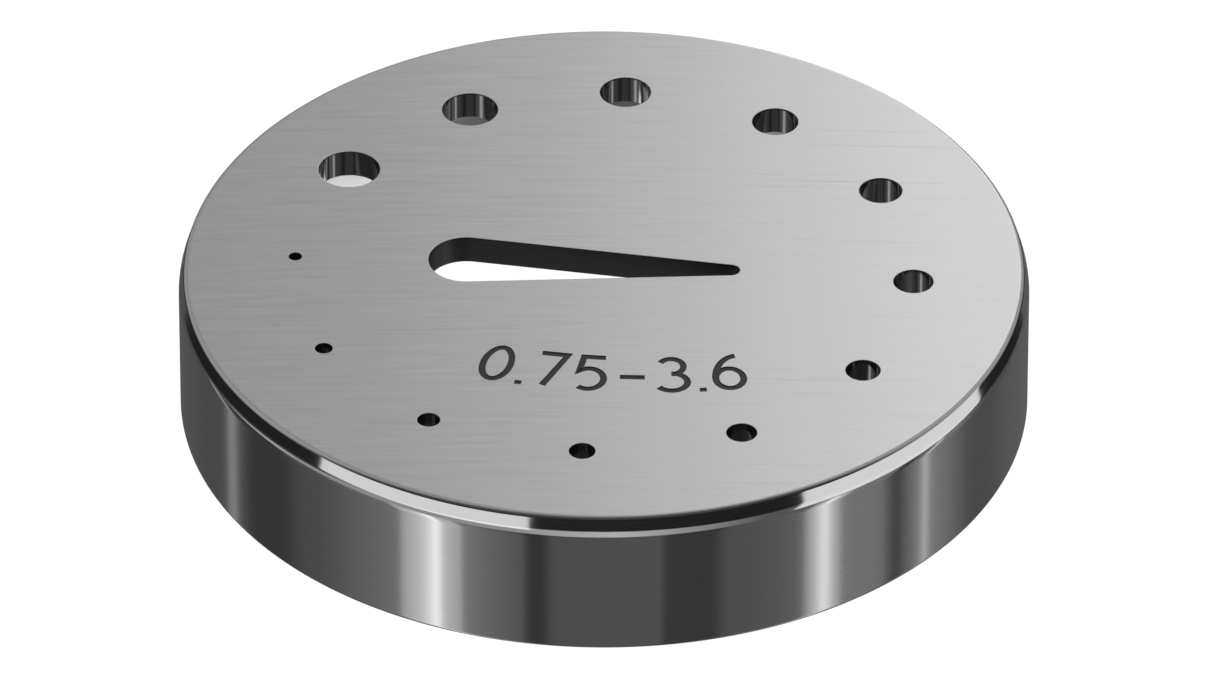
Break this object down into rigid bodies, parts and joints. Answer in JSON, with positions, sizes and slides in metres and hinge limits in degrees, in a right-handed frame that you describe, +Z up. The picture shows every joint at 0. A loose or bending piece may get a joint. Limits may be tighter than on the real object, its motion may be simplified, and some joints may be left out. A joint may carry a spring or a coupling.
{
  "type": "riveting stake",
  "caption": "Round hardened steel stake for watch work, with graded through holes and a tapered slot over a hollow underside.",
  "frame": {"origin": "middle of the face that the stake stands on, on the disc's axis", "axes": "+Z up along the disc's axis, towards the working face; +X along the slot, towards its narrow end"},
  "size_m": [0.05, 0.05, 0.0092],
  "materials": {
    "hardened_steel": "hardened and ground: straight brushed grain on the working face, fine-turned side, polished bevel"
  },
  "bodies": {
    "root": {"riveting_stake": "hardened_steel"}
  },
  "joints": []
}
